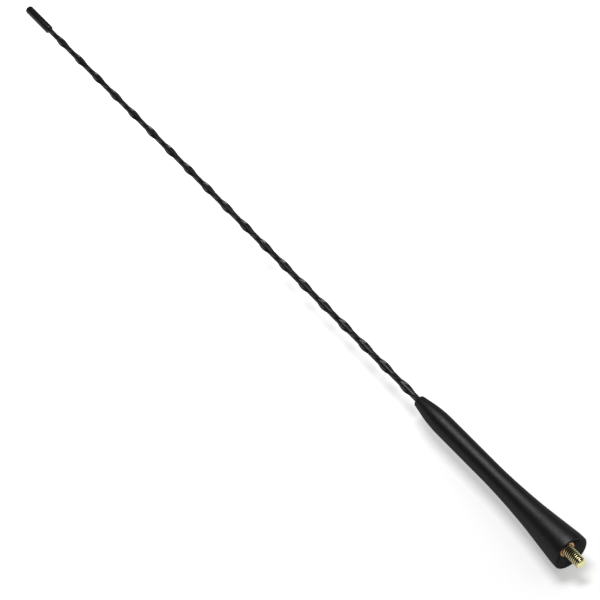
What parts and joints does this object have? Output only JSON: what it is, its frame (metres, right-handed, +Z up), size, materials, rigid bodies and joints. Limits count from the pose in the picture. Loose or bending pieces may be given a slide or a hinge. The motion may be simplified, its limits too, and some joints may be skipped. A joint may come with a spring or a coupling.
{
  "type": "car mast aerial",
  "caption": "Screw-on car roof aerial: a black whip with twisted ridges in a flared rubber boot, with a brass-flanged screw stud at its foot.",
  "frame": {"origin": "centre of the foot plane, where the rim of the boot meets the roof socket", "axes": "+X along the mast axis, out of the screw stud; the whip runs along -X; +Z up with the mast lying down"},
  "size_m": [0.4117, 0.017, 0.017],
  "materials": {
    "boot_rubber": "matt, finely grained",
    "whip_plastic": "satin",
    "cap_plastic": "satin",
    "ferrule_brass": "turned",
    "stud_steel": "yellow zinc passivate",
    "rod_glass_fibre": "smooth",
    "winding_copper": "bare copper"
  },
  "bodies": {
    "root": {"boot": "boot_rubber", "whip_sheath": "whip_plastic", "tip_cap": "cap_plastic", "terminal_ferrule": "ferrule_brass", "threaded_stud": "stud_steel", "core_rod": "rod_glass_fibre", "radiator_winding": "winding_copper"}
  },
  "joints": []
}
